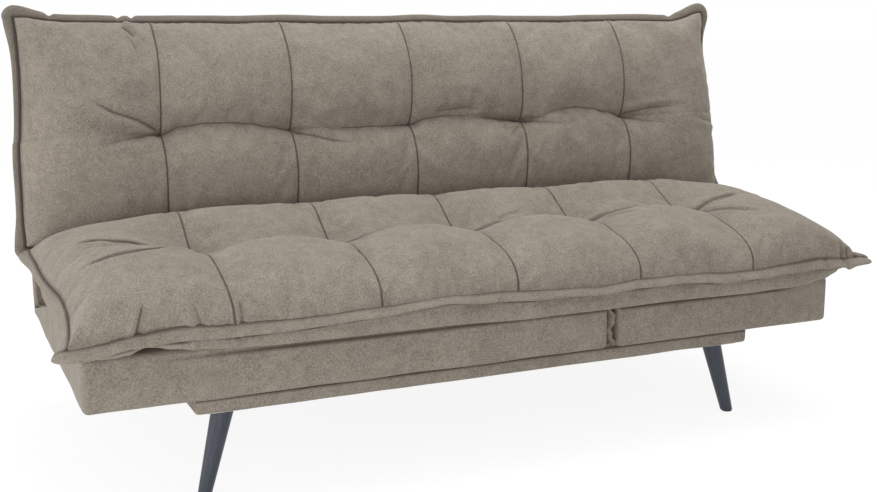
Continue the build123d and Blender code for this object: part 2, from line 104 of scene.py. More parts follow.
# shader maths as expressions on sockets
class Field:
    def __init__(self, tree, socket=None):
        self.tree = tree
        self.socket = socket

    def node(self, kind, settings, inputs, output=0):
        made = self.tree.nodes.new(kind)
        for key, value in settings.items():
            setattr(made, key, value)
        for key, value in inputs.items():
            if isinstance(value, Field):
                self.tree.links.new(value.socket, made.inputs[key])
            else:
                made.inputs[key].default_value = value
        return Field(self.tree, made.outputs[output])

    def maths(self, operation, first, second=0.0):
        return self.node("ShaderNodeMath", {"operation": operation}, {0: first, 1: second})

    def __add__(self, other):
        return self.maths("ADD", self, other)

    __radd__ = __add__

    def __sub__(self, other):
        return self.maths("SUBTRACT", self, other)

    def __rsub__(self, other):
        return self.maths("SUBTRACT", other, self)

    def __mul__(self, other):
        return self.maths("MULTIPLY", self, other)

    __rmul__ = __mul__

    def sine(self):
        return self.maths("SINE", self)

    def clamped(self, low=0.0, high=1.0):
        return self.maths("MINIMUM", self.maths("MAXIMUM", self, low), high)


def mixColour(field, factor, first, second):
    settings = {"data_type": "RGBA", "clamp_factor": True}
    return field.node("ShaderNodeMix", settings, {0: factor, 6: first, 7: second}, 2)


def newMaterial(name):
    material = bpy.data.materials.new(name)
    material.use_nodes = True
    shader = material.node_tree.nodes["Principled BSDF"]
    return material, shader, Field(material.node_tree)


def setShader(field, shader, values):
    for key, value in values.items():
        if isinstance(value, Field):
            field.tree.links.new(value.socket, shader.inputs[key])
        else:
            shader.inputs[key].default_value = value


def noiseAt(field, where, scale, detail=2.0, roughness=0.5):
    inputs = {"Vector": where, "Scale": scale, "Detail": detail, "Roughness": roughness}
    return field.node("ShaderNodeTexNoise", {}, inputs)


def objectSpot(field):
    return field.node("ShaderNodeTexCoord", {}, {}, 3)


def bumpOf(field, height, strength, distance):
    inputs = {"Strength": strength, "Distance": distance, "Height": height}
    return field.node("ShaderNodeBump", {}, inputs)


# brushed flat-woven upholstery: dotted twill, cloudy nap, and painted shade in seams, creases and under parts
fabric = {
    "light": (0.350, 0.309, 0.258, 1),
    "dark": (0.150, 0.128, 0.103, 1),
    # colour of the painted shade in seams, creases, folds and under the ribbons and pads
    "crease": (0.045, 0.037, 0.028, 1),
    "threads": 250,  # dotted lines in a metre
    "twillPitch": 0.72,  # the slanted lines against the crossing ones
    "wobble": (4.5, 4.0),  # how far uneven yarn bends the two sets of lines
    "scales": {"yarn": 300, "nap": 13, "patch": 48, "fleck": 330},
    "tone": {"nap": 0.65, "patch": 0.6, "fleck": 2.1},  # weight of each in the colour
    "weaveShow": (0.45, 0.12),  # weight of the weave where the nap is worn, and everywhere
    "seamShow": (0.25, 1.34),  # shade at which a crease begins to darken, and how fast
    "bump": (0.30, 0.0014),  # strength and depth
    "sheen": (0.22, 0.45, (0.85, 0.80, 0.72, 1)),  # weight, roughness and tint
    "gloss": 0.18,
}


def makeFabric(name):
    material, shader, field = newMaterial(name)
    scales, weight = fabric["scales"], fabric["tone"]
    spot = objectSpot(field)
    uv = field.node("ShaderNodeUVMap", {"uv_map": "weave"}, {})
    across = field.node("ShaderNodeSeparateXYZ", {}, {0: uv})
    lengthwise = Field(field.tree, across.socket.node.outputs[1])
    turn = 2 * math.pi * fabric["threads"]
    yarn = noiseAt(field, spot, scales["yarn"], 2.0)
    twill = ((across + lengthwise) * (turn * fabric["twillPitch"]) + yarn * fabric["wobble"][0]).sine()
    weft = ((across - lengthwise) * turn + yarn * fabric["wobble"][1]).sine()
    weave = twill * 0.30 + twill * weft * 0.20 + 0.5
    nap = noiseAt(field, spot, scales["nap"], 4.0, 0.6)
    patch = noiseAt(field, spot, scales["patch"], 3.0, 0.6)
    fleck = noiseAt(field, spot, scales["fleck"], 2.0, 0.8)
    worn = (nap * 2.4 - 0.9).clamped()  # where the nap is rubbed down the weave shows
    tone = (nap - 0.5) * weight["nap"] + (patch - 0.5) * weight["patch"]
    tone = tone + (fleck - 0.5) * weight["fleck"] + 0.5
    wornShow, evenShow = fabric["weaveShow"]
    tone = tone + (weave - 0.5) * (worn * wornShow + evenShow)
    body = mixColour(field, tone.clamped(), fabric["dark"], fabric["light"])
    # painted shade, read from each piece's seamShade attribute
    seam = field.node("ShaderNodeAttribute", {"attribute_name": "seamShade"}, {}, 2)
    begins, grows = fabric["seamShow"]
    colour = mixColour(field, ((seam - begins) * grows).clamped(), body, fabric["crease"])
    height = weave * 0.6 + fleck * 0.6
    sheen, sheenRoughness, sheenTint = fabric["sheen"]
    setShader(field, shader, {
        "Base Color": colour,
        "Roughness": (nap * 0.12 + 0.82).clamped(),
        "Normal": bumpOf(field, height, *fabric["bump"]),
        "Sheen Weight": sheen,
        "Sheen Roughness": sheenRoughness,
        "Sheen Tint": sheenTint,
        "Specular IOR Level": fabric["gloss"],
    })
    return material


# finishes of the frame's own parts
finishes = {
    # light and dark colour, noise scale, stretch, roughness, metal, bump in metres
    "frame_wood": (
        (0.62, 0.43, 0.25, 1), (0.40, 0.24, 0.12, 1), 5, (1.2, 14, 14), (0.55, 0.75), 0, 0.0006,
    ),
    "plywood": (
        (0.60, 0.45, 0.29, 1), (0.42, 0.28, 0.16, 1), 6, (1.0, 9, 60), (0.60, 0.80), 0, 0.0005,
    ),
    "felt": (
        (0.30, 0.30, 0.31, 1), (0.12, 0.12, 0.13, 1), 90, (1, 1, 1), (0.90, 1.0), 0, 0.0012,
    ),
    "spring_wire": (
        (0.30, 0.30, 0.31, 1), (0.16, 0.16, 0.17, 1), 60, (1, 1, 1), (0.30, 0.50), 1, 0.0001,
    ),
    "clip_plastic": (
        (0.70, 0.70, 0.67, 1), (0.58, 0.58, 0.55, 1), 40, (1, 1, 1), (0.40, 0.55), 0, 0.0001,
    ),
    "hinge_steel": (
        (0.055, 0.055, 0.060, 1), (0.025, 0.025, 0.028, 1), 55, (1, 1, 1), (0.38, 0.58), 0, 0.0002,
    ),
    "zinc_steel": (
        (0.62, 0.62, 0.60, 1), (0.40, 0.41, 0.42, 1), 70, (1, 1, 1), (0.25, 0.45), 1, 0.0001,
    ),
    "glide_plastic": (
        (0.030, 0.030, 0.032, 1), (0.015, 0.015, 0.016, 1), 120, (1, 1, 1), (0.45, 0.65), 0, 0.0002,
    ),
    "leg_lacquer": (
        (0.058, 0.065, 0.088, 1), (0.034, 0.038, 0.052, 1), 7, (30, 30, 1.5), (0.34, 0.50), 0, 0.0002,
    ),
    "dust_cloth": (
        (0.035, 0.035, 0.036, 1), (0.012, 0.012, 0.013, 1), 160, (1, 1, 1), (0.88, 1.0), 0, 0.0006,
    ),
    "buffer_rubber": (
        (0.040, 0.040, 0.040, 1), (0.018, 0.018, 0.018, 1), 90, (1, 1, 1), (0.65, 0.85), 0, 0.0003,
    ),
}


def makeFinish(name, settings):
    light, dark, scale, stretch, roughness, metal, bump = settings
    material, shader, field = newMaterial("finish_" + name)
    spot = field.node("ShaderNodeMapping", {}, {"Vector": objectSpot(field), "Scale": stretch})
    broad = noiseAt(field, spot, scale, 5.0, 0.6)
    fine = noiseAt(field, spot, scale * 6, 3.0, 0.7)
    tone = ((broad - 0.5) * 1.6 + (fine - 0.5) * 1.0 + 0.5).clamped()
    low, high = roughness
    setShader(field, shader, {
        "Base Color": mixColour(field, tone, dark, light),
        "Roughness": (fine * (high - low) + low).clamped(),
        "Metallic": metal,
        "Normal": bumpOf(field, broad * 0.5 + fine * 0.5, 0.4, bump),
        "Specular IOR Level": 0.35,
    })
    return material


upholstery = makeFabric("upholstery")
for finish, settings in finishes.items():
    made = makeFinish(finish, settings)
    for mesh in bpy.data.meshes:
        for index, old in enumerate(mesh.materials):
            if old and old.name == finish:
                mesh.materials[index] = made
print("materials ready")


# mesh helpers
def finishMesh(name, bm, material, closed=True):
    if closed:
        bmesh.ops.remove_doubles(bm, verts=bm.verts, dist=1e-5)
        bmesh.ops.recalc_face_normals(bm, faces=bm.faces)
    mesh = bpy.data.meshes.new(name)
    bm.to_mesh(mesh)
    bm.free()
    mesh.materials.clear()
    mesh.materials.append(material)
    mesh.shade_smooth()
    piece = bpy.data.objects.new(name, mesh)
    scene.collection.objects.link(piece)
    return piece


def weaveFromBox(bm):
    layer = bm.loops.layers.uv.get("weave") or bm.loops.layers.uv.new("weave")
    for face in bm.faces:
        size = [abs(part) for part in face.normal]
        drop = size.index(max(size))
        keep = [axis for axis in range(3) if axis != drop]
        for loop in face.loops:
            loop[layer].uv = (loop.vert.co[keep[0]], loop.vert.co[keep[1]])


def wave(where, scale, seed):
    return noise.noise(Vector(where) * scale + Vector((seed, seed * 1.7, seed * 0.6)))


def smoothStep(value):
    value = min(max(value, 0.0), 1.0)
    return value * value * (3 - 2 * value)


def along(knots, x):
    for (x0, low), (x1, high) in zip(knots, knots[1:]):
        if x <= x1:
            return low + (high - low) * smoothStep((x - x0) / (x1 - x0))
    return knots[-1][1]


# tufted pads: six columns by two rows, sewn down along the seams
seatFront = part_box("seat_pad")[0].y
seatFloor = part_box("seat_pad")[0].z
pivot = Vector((0, 0.1435, 0.4035))  # on the back's hinge line
leanTurn = math.radians(11)  # the back leans this far from upright
backUp = Vector((0, math.sin(leanTurn), math.cos(leanTurn)))
backOut = Vector((0, -math.cos(leanTurn), math.sin(leanTurn)))

seatPad = {
    "half": 0.88,
    "pitch": 0.295,
    "columns": 6,
    "cells": (44, 38),  # mesh cells in a column and in a row, before the last refining
    "row": 0.245,
    "levels": (0.371, 0.459, 0.430),  # front flange seam, tufts, rear flange seam
    "rowLift": 0.028,  # between two tufts the row stays this much higher
    "rowBend": ((0, 0), (0, 0), (0, 0), (0, 0), (0, 0), (0, 0)),  # sway of the row line in each column
    "seamRise": (0.050, 0.075),
    "midRise": (0.051, 0.073),
    "across": (1.1, 1.0),  # how the row's lift and the rise grow from a seam
    "skew": (0.5, 2.3),
    "fullness": (0.5, 0.75),
    "spread": (3.0, -0.5),  # how the cells crowd to the steep end of a row
    "roll": (0.090, 0.5, 0.55, 0.75),  # one roll at the ends: rise, fullness, place, share
    "endFull": (4, 0.55),
    "drawIn": {-1: (0.020, 0.36, 0.22), 1: (0.017, 0.31, 0.13)},  # pinched ends: depth, place and width
    "flare": {-1: (0, 1), 1: (0, 1)},  # ends that stand out by the front seam: how far and how long
    "tuftDrop": (0.030, 0.040, 0.040, 0.036, 0.032, 0.020, 0.016),  # the row falls this far at each seam
    "rowFold": (  # how dark the painted shade of the row line's fold is along each column
        ((0, 0), (0.5, 0.1), (1, 0.85)), ((0, 0.85), (0.5, 0.85), (0.7, 0.6), (1, 0.7)),
        ((0, 0.85), (0.5, 0.85), (0.7, 0.55), (1, 0.7)), ((0, 0.85), (0.5, 0.85), (0.7, 0.55), (1, 0.7)),
        ((0, 0.85), (0.5, 0.85), (0.7, 0.55), (1, 0.7)), ((0, 0.8), (0.3, 0.1), (1, 0)),
    ),
    "foldReach": 5,  # cells behind the row line that it shades
    "seamFade": 0.6,  # share of the shade that is left half a cell beside a seam
    "creaseShade": (0.90, 0.60, 0.007, 0.28),  # painted shade along a crease: darkness, width, shift and fading end of its line
    "frontRise": (  # how far the front stands above its level along x
        (-0.88, 0), (-0.80, -0.004), (-0.694, -0.004), (-0.58, -0.007), (-0.44, -0.008), (-0.29, -0.004),
        (-0.15, 0.002), (-0.05, 0), (0.05, -0.005), (0.19, -0.010), (0.30, -0.005), (0.44, -0.003),
        (0.52, -0.008), (0.60, -0.010), (0.68, -0.005), (0.78, 0.002), (0.88, 0),
    ),
    "corners": {  # pull of each corner along x, s and n, and how far it reaches
        (-1, 0): (-0.002, -0.003, -0.024, 0.10),
        (1, 0): (0.004, -0.002, -0.004, 0.08),
        (-1, 1): (-0.006, 0.028, 0.004, 0.09),
        (1, 1): (0.0, 0.0, 0.002, 0.08),
    },
    "edgeWave": 0.0035,  # how far the sewing strays
    "frontShift": (0, 0.012, 0.003, 0.005, 0.004, 0.001, 0),
    "seed": 3.0,
    "pressure": 3.0,
    "cap": 0.013,
    "creases": (  # depth, width and points (x, s) from the tuft outwards
        (0.0060, 0.007, ((-0.597, 0.252), (-0.660, 0.262), (-0.708, 0.270), (-0.746, 0.270), (-0.779, 0.284),
                         (-0.803, 0.298), (-0.837, 0.318))),
        (0.0065, 0.007, ((-0.597, 0.236), (-0.640, 0.190), (-0.689, 0.163), (-0.728, 0.160), (-0.763, 0.160),
                         (-0.785, 0.160), (-0.815, 0.170), (-0.838, 0.190))),
        (0.0030, 0.008, ((0.100, 0.276), (0.135, 0.288), (0.180, 0.294))),
        (0.0035, 0.008, ((0.305, 0.230), (0.332, 0.190), (0.367, 0.169), (0.410, 0.148))),
        (0.0045, 0.007, ((0.597, 0.250), (0.658, 0.264), (0.685, 0.260), (0.725, 0.257), (0.765, 0.258))),
        (0.0045, 0.008, ((0.595, 0.230), (0.604, 0.180), (0.631, 0.150), (0.662, 0.122), (0.720, 0.095))),
        (0.0060, 0.006, ((-0.760, -1.022), (-0.752, -0.990), (-0.738, -0.940))),
        (0.0040, 0.006, ((-0.638, -1.020), (-0.648, -0.985), (-0.657, -0.955))),
        (0.0045, 0.005, ((-0.565, -1.022), (-0.567, -0.955))),
        (0.0045, 0.005, ((0.862, -1.018), (0.855, -0.955))),
        (0.0040, 0.005, ((0.845, -1.018), (0.836, -0.960))),
    ),
}
backPad = {
    "half": 0.88,
    "pitch": 0.295,
    "columns": 6,
    "cells": (44, 38),
    "row": 0.252,
    "levels": (0.020, 0.040, 0.020),
    "rowLift": 0.032,
    "rowBend": (
        (0, 0), (0, 0.015, 0.020, 0.019, 0.015, 0.007, 0), (0, 0, -0.003, -0.003, 0, 0, 0),
        (0, 0.013, 0.018, 0.016, 0.011, 0.005, 0), (0, 0.006, 0.022, 0.027, 0.022, 0.012, 0), (0, 0),
    ),
    "seamRise": (0.056, 0.056),
    "midRise": (0.039, 0.050),
    "across": (0.7, 0.6),
    "skew": (1.6, 1.0),
    "fullness": (0.55, 0.55),
    "spread": (0, 0),
    "roll": (0.074, 0.4, 0.5, 0.9),
    "endFull": (7, 0.5),
    "drawIn": {-1: (0.009, 0.76, 0.20), 1: (-0.010, 0.50, 0.50)},
    "flare": {-1: (0.011, 0.45), 1: (0.011, 0.20)},
    "tuftDrop": (0, 0, 0, 0, 0, 0, 0),
    "rowFold": (
        ((0, 0), (0.85, 0), (1, 0.6)), ((0, 0.95), (1, 0.95)),
        ((0, 0.3), (0.3, 0.1), (0.45, 0.95), (1, 0.95)),
        ((0, 0.95), (0.45, 0.85), (0.55, 0.2), (0.7, 0.75), (1, 0.85)),
        ((0, 0.3), (0.3, 0.1), (0.45, 0.95), (1, 0.85)), ((0, 0.6), (0.15, 0), (1, 0)),
    ),
    "foldReach": 0,
    "seamFade": 0.6,
    "creaseShade": (0.85, 0.50, 0.0, 0.45),
    "frontRise": ((-1, 0), (1, 0)),
    "corners": {
        (-1, 0): (0.004, 0.030, 0.0, 0.06),
        (1, 0): (0.004, 0.030, 0.0, 0.06),
        (-1, 1): (0.004, 0.013, 0.0, 0.085),
        (1, 1): (0.008, 0.020, 0.0, 0.055),
    },
    "edgeWave": 0.0035,
    "frontShift": (0, 0, 0, 0, 0, 0, 0),
    "seed": 8.0,
    "pressure": 3.0,
    "cap": 0.013,
    "creases": (
        (0.0060, 0.007, ((-0.590, 0.254), (-0.639, 0.280), (-0.695, 0.299), (-0.730, 0.320),
                         (-0.793, 0.361))),
        (0.0040, 0.008, ((-0.590, 0.252), (-0.620, 0.252), (-0.662, 0.245), (-0.717, 0.232),
                         (-0.765, 0.217))),
        (0.0015, 0.012, ((-0.600, 0.256), (-0.690, 0.268), (-0.800, 0.270))),
        (0.0070, 0.006, ((-0.657, 0.500), (-0.639, 0.480), (-0.621, 0.452))),
        (0.0045, 0.006, ((-0.646, 0.470), (-0.636, 0.444), (-0.631, 0.423))),
        (0.0055, 0.008, ((-0.295, 0.250), (-0.215, 0.225), (-0.123, 0.209))),
        (0.0040, 0.008, ((0.060, 0.278), (0.136, 0.284), (0.215, 0.276))),
        (0.0035, 0.007, ((0.295, 0.252), (0.232, 0.257), (0.185, 0.265), (0.135, 0.269))),
        (0.0045, 0.007, ((0.295, 0.252), (0.325, 0.250), (0.379, 0.241), (0.470, 0.229))),
        (0.0035, 0.009, ((0.285, 0.240), (0.268, 0.226), (0.224, 0.189))),
        (0.0050, 0.007, ((0.590, 0.254), (0.624, 0.262), (0.660, 0.267), (0.720, 0.270), (0.785, 0.271))),
        (0.0045, 0.008, ((0.590, 0.252), (0.607, 0.249), (0.657, 0.235), (0.730, 0.219))),
        (0.0045, 0.007, ((0.876, 0.228), (0.823, 0.231), (0.775, 0.245))),
        (0.0030, 0.007, ((0.506, 0.497), (0.514, 0.465))),
        (0.0025, 0.008, ((0.383, 0.494), (0.342, 0.470), (0.305, 0.440))),
        (0.0025, 0.007, ((-0.180, 0.495), (-0.172, 0.470))),
        (0.0025, 0.007, ((0.110, 0.495), (0.100, 0.472))),
    ),
}


def seatPlace(x, s, n):
    return Vector((x, seatFront + s, n))


def backPlace(x, s, n):
    return pivot + Vector((x, 0, 0)) + backUp * s + backOut * n


def rowShare(spec, row, q):
    bend = spec["spread"][row]
    if bend > 0:
        return q ** (1 + bend * (1 - q) ** 2)
    if bend < 0:
        return 1 - (1 - q) ** (1 - bend * q ** 2)
    near = min(q, 1 - q) * 2
    share = 0.5 * near ** (1 + 0.8 * (1 - near) ** 2)
    return share if q < 0.5 else 1 - share


def rowSway(spec, column, t):
    line = spec["rowBend"][column]
    place = t * (len(line) - 1)
    index = min(int(place), len(line) - 2)
    return line[index] + (line[index + 1] - line[index]) * smoothStep(place - index)


def padPoint(spec, u, v):
    columns, pitch, half = spec["columns"], spec["pitch"], spec["half"]
    place = (u + 1) / 2 * columns
    column = min(int(place + 1e-6), columns - 1)
    t = place - column
    row = 0 if v < 0.5 - 1e-6 else 1
    r = rowShare(spec, row, min(max(v * 2 - row, 0), 1))
    outer = column in (0, columns - 1)
    fromSeam = 1 - t if column == 0 else t
    across = max(math.sin(math.pi * (min(fromSeam, 0.5) if outer else t)), 0)
    low, high = spec["levels"][row], spec["levels"][row + 1]
    lift = spec["rowLift"] * across ** spec["across"][0]
    low, high = (low, high + lift) if row == 0 else (low + lift, high)
    rise = spec["seamRise"][row]
    rise += (spec["midRise"][row] - rise) * across ** spec["across"][1]
    crown = max(math.sin(math.pi * r ** spec["skew"][row]), 0) ** spec["fullness"][row]
    n = low + (high - low) * r + rise * crown
    drop = spec["tuftDrop"][column] * (1 - t) + spec["tuftDrop"][column + 1] * t
    n -= drop * (max(2 * r - 1, 0) ** 2.5 if row == 0 else (1 - r) ** 2)
    x = (place - columns / 2) * pitch
    sway = rowSway(spec, column, t)
    s = (row + r) * spec["row"] + sway * (r if row == 0 else 1 - r)
    if outer:
        side = -1 if column == 0 else 1
        inner = (columns / 2 - 1) * pitch
        depth, middle, width = spec["drawIn"][side]
        stand, long = spec["flare"][side]
        pinch = depth * math.exp(-((v - middle) / width) ** 2) - stand * math.exp(-(v / long) ** 2)
        x = side * (inner + fromSeam * (half - inner) - pinch * fromSeam ** 2)
        edge = spec["levels"][0] + (spec["levels"][2] - spec["levels"][0]) * v
        rollRise, rollFull, rollPlace, rollShare = spec["roll"]
        roll = edge + rollRise * max(math.sin(math.pi * v), 0) ** rollFull
        n += (roll - n) * rollShare * smoothStep(fromSeam / rollPlace)
        power, full = spec["endFull"]
        n = edge + (n - edge) * max(1 - fromSeam ** power, 0) ** full
    shift = spec["frontShift"]
    if column + 1 < len(shift):
        x += (shift[column] * (1 - t) + shift[column + 1] * t) * max(1 - 2 * v, 0)
    n += along(spec["frontRise"], x) * max(1 - 2 * v, 0)
    return pulledCorners(spec, *loosened(spec, x, s, n))


def loosened(spec, x, s, n):
    # sewing is never quite straight
    sway = spec["edgeWave"]
    movedX = x + sway * wave((x, s, 0), 7, spec["seed"])
    movedS = s + sway * wave((x, s, 1), 7, spec["seed"] + 4)
    return movedX, movedS, n + sway * 0.7 * wave((x, s, 2), 6, spec["seed"] + 9)


def pulledCorners(spec, x, s, n):
    place = [x, s, n]
    for (side, end), (*pull, reach) in spec["corners"].items():
        gap = math.hypot(x - side * spec["half"], s - end * 2 * spec["row"])
        near = math.exp(-(gap / reach) ** 2)
        place = [value + step * near for value, step in zip(place, pull)]
    return place


# painted shade along the sewn seams: at the flange edges and between the columns
seamShades = {"edge": 0.75, "column": 1.0}
sewnFold = 0.4  # a row line darker than this is sewn down


def topSheet(name, spec, toPlace):
    bm = bmesh.new()
    inColumn, inRow = spec["cells"]
    wide = spec["columns"] * inColumn
    deep = 2 * inRow
    bmesh.ops.create_grid(bm, x_segments=wide, y_segments=deep, size=0.5)
    uLayer = bm.verts.layers.float.new("padU")
    vLayer = bm.verts.layers.float.new("padV")
    shade = bm.verts.layers.float.new("seamShade")
    held = bm.verts.layers.float.new("stitched")
    for vert in bm.verts:
        i = round((vert.co.x + 0.5) * wide)
        j = round((vert.co.y + 0.5) * deep)
        vert[uLayer] = 2 * i / wide - 1
        vert[vLayer] = j / deep
        seam = i % inColumn == 0 or j in (0, deep)
        if seam:
            vert[shade] = seamShades["edge" if j in (0, deep) else "column"]
        behind = j - inRow
        # painted shade just behind the row line, where its fold lies in shade
        if 0 <= behind <= spec["foldReach"] and not seam:
            fold = along(spec["rowFold"][i // inColumn], i % inColumn / inColumn)
            vert[shade] = fold * (1 - 0.5 * (behind / (spec["foldReach"] + 1)) ** 2)
            vert[held] = 1.0 if behind == 0 and fold > sewnFold else 0.0
        elif seam:
            vert[held] = 1.0
        vert.co = toPlace(*padPoint(spec, vert[uLayer], vert[vLayer]))
    bm.normal_update()
    return finishMesh(name, bm, upholstery, closed=False)


clothSet = {
    "quality": 5,
    "mass": 0.3,
    "tension_stiffness": 15,
    "compression_stiffness": 8,
    "shear_stiffness": 5,
    "bending_stiffness": 0.6,
    "shrink_min": -0.02,
    "use_pressure": True,
}
clothSteps = 20


def inflate(piece, spec):
    mesh = piece.data
    pinned = [index for index, value in enumerate(mesh.attributes["stitched"].data) if value.value > 0.5]
    group = piece.vertex_groups.new(name="stitched")
    group.add(pinned, 1.0, "REPLACE")
    cloth = piece.modifiers.new("inflate", "CLOTH")
    settings = cloth.settings
    settings.vertex_group_mass = group.name
    for key, value in clothSet.items():
        setattr(settings, key, value)
    settings.uniform_pressure_force = spec["pressure"]
    settings.effector_weights.gravity = 0
    cloth.collision_settings.use_collision = False
    start = [vert.co.copy() for vert in mesh.vertices]
    for step in range(1, clothSteps + 1):
        scene.frame_set(step)
    swollen = piece.evaluated_get(bpy.context.evaluated_depsgraph_get()).data
    moved = [vert.co.copy() for vert in swollen.vertices]
    piece.modifiers.remove(cloth)
    piece.vertex_groups.clear()
    scene.frame_set(1)
    for vert, before, after in zip(mesh.vertices, start, moved):
        step = after - before
        if step.length > spec["cap"]:
            step *= spec["cap"] / step.length
        vert.co = before + step
    print(piece.name, "inflated, furthest", max((a - b).length for a, b in zip(start, moved)))


def refine(piece):
    smooth = piece.modifiers.new("refine", "SUBSURF")
    smooth.levels = 1
    smooth.render_levels = 1
    smooth.boundary_smooth = "PRESERVE_CORNERS"
    finer = piece.evaluated_get(bpy.context.evaluated_depsgraph_get())
    mesh = bpy.data.meshes.new_from_object(finer)
    piece.modifiers.clear()
    piece.data = mesh
    mesh.name = piece.name


def thinSeams(piece, spec):
    # beside a seam the shade falls off at once, so the sewn line stays fine
    shade = piece.data.attributes["seamShade"].data
    for index, spot in enumerate(piece.data.attributes["padU"].data):
        place = (spot.value + 1) / 2 * spec["columns"]
        cellsOff = abs(place - round(place)) * spec["cells"][0]
        if 0.1 < cellsOff < 0.9 and shade[index].value < 0.6:  # row lines stay as dark as they are
            shade[index].value *= spec["seamFade"]


# pulled creases and puckers, laid along curves over the pad, with painted shade along their lines
def nearestOn(points, x, y):
    best = (9.0, 0.0, 1.0)
    for index in range(len(points) - 1):
        (ax, ay), (bx, by) = points[index], points[index + 1]
        dx, dy = bx - ax, by - ay
        share = ((x - ax) * dx + (y - ay) * dy) / (dx * dx + dy * dy)
        share = min(max(share, 0.0), 1.0)
        gapX, gapY = x - ax - share * dx, y - ay - share * dy
        gap = math.hypot(gapX, gapY)
        if gap < best[0]:
            best = (gap, (index + share) / (len(points) - 1), math.copysign(1, dx * gapY - dy * gapX))
    return best


creaseSet = {
    "bucket": 0.04,  # side of the squares that the points are sorted into
    "reach": 4,  # crease widths to which it is felt
    "start": 0.010,  # length over which it deepens from the tuft
    "ridge": (2.1, 1.2),  # place and width of the swelling beside it, in crease widths
    "ridgeRise": (0.42, 0.25),  # its height, and how much higher one side is
    "creaseShadeDepth": 0.006,  # a crease this deep gets its full line of painted shade
}


def layCreases(piece, spec, spotOf):
    mesh = piece.data
    shade = mesh.attributes["seamShade"].data
    buckets, side = {}, creaseSet["bucket"]
    spots = [spotOf(vert.co) for vert in mesh.vertices]
    for index, (x, y) in enumerate(spots):
        buckets.setdefault((int(x // side), int(y // side)), []).append(index)
    valleys, ridges = {}, {}
    creaseShade, spread, shift, end = spec["creaseShade"]
    ridgePlace, ridgeWide = creaseSet["ridge"]
    ridgeHigh, ridgeLean = creaseSet["ridgeRise"]
    for depth, width, points in spec["creases"]:
        reach = creaseSet["reach"] * width
        xs = [x for x, _ in points]
        ys = [y for _, y in points]
        length = math.hypot(points[-1][0] - points[0][0], points[-1][1] - points[0][1])
        full = min(depth / creaseSet["creaseShadeDepth"], 1)
        for i in range(int((min(xs) - reach) // side), int((max(xs) + reach) // side) + 1):
            for j in range(int((min(ys) - reach) // side), int((max(ys) + reach) // side) + 1):
                for index in buckets.get((i, j), ()):
                    gap, share, hand = nearestOn(points, *spots[index])
                    if gap > reach:
                        continue
                    fade = smoothStep((1 - share) / end) * smoothStep(share * length / creaseSet["start"])
                    valley = depth * fade * math.exp(-(gap / width) ** 2)
                    ridge = math.exp(-((gap - ridgePlace * width) / (ridgeWide * width)) ** 2)
                    ridge *= ridgeHigh + ridgeLean * hand
                    valleys[index] = max(valleys.get(index, 0), valley)
                    ridges[index] = max(ridges.get(index, 0), depth * fade * ridge)
                    # painted shade along the crease's line, set a little off it
                    x, y = spots[index]
                    shadeGap = nearestOn(points, x, y - shift)[0]
                    dark = creaseShade * fade * math.exp(-(shadeGap / (spread * width)) ** 2) * full
                    shade[index].value = max(shade[index].value, dark)
    normals = {index: mesh.vertices[index].normal.copy() for index in valleys}
    for index, normal in normals.items():
        mesh.vertices[index].co += normal * (ridges[index] - valleys[index])


def seatSpot(place):
    # the front face is counted upwards from -1
    s = place.y - seatFront
    return place.x, s if s > 0.06 else place.z - seatPad["levels"][0] - 1


def backSpot(place):
    return place.x, (place - pivot).dot(backUp)


seatTop = topSheet("seat_topper", seatPad, seatPlace)
backTop = topSheet("back_cushion", backPad, backPlace)
for piece, spec, spotOf in ((seatTop, seatPad, seatSpot), (backTop, backPad, backSpot)):
    inflate(piece, spec)
    refine(piece)
    thinSeams(piece, spec)
    layCreases(piece, spec, spotOf)
print("pads shaped")


# under the sheet: a border that rolls in to a flat underside
def edgeOut(u, v):
    out = Vector((0, 0))
    if abs(u) > 0.9999:
        out.x = math.copysign(1, u)
    if v < 0.0001:
        out.y = -1
    if v > 0.9999:
        out.y = 1
    return out.normalized()


def closePad(piece, rings, ringPlace, facing):
    bm = bmesh.new()
    bm.from_mesh(piece.data)
    uLayer = bm.verts.layers.float["padU"]
    vLayer = bm.verts.layers.float["padV"]
    shade = bm.verts.layers.float["seamShade"]
    edges = [edge for edge in bm.edges if edge.is_boundary]
    anchors = {}
    for edge in edges:
        for vert in edge.verts:
            anchors[(round(vert[uLayer], 5), round(vert[vLayer], 5))] = vert.co.copy()
    for ring in rings:
        made = bmesh.ops.extrude_edge_only(bm, edges=edges)["geom"]
        edges = [item for item in made if isinstance(item, bmesh.types.BMEdge)]
        for vert in [item for item in made if isinstance(item, bmesh.types.BMVert)]:
            u, v = vert[uLayer], vert[vLayer]
            anchor = anchors[(round(u, 5), round(v, 5))]
            vert.co, vert[shade] = ringPlace(anchor, edgeOut(u, v), ring)
    bmesh.ops.triangle_fill(bm, edges=edges, use_beauty=True, normal=facing)
    weaveFromPad(bm, uLayer, vLayer)
    bmesh.ops.recalc_face_normals(bm, faces=bm.faces)
    bm.to_mesh(piece.data)
    bm.free()
    piece.data.shade_smooth()


padWeave = {"across": 0.92, "deep": 0.62, "below": 0.004}  # metres of cloth to each unit of u and v


def weaveFromPad(bm, uLayer, vLayer):
    layer = bm.loops.layers.uv.new("weave")
    for face in bm.faces:
        flat = len(face.verts) == 4
        for loop in face.loops:
            vert = loop.vert
            fall = max(seatPad["levels"][0] - padWeave["below"] - vert.co.z, 0) if flat else 0
            loop[layer].uv = (vert[uLayer] * padWeave["across"], vert[vLayer] * padWeave["deep"] - fall)


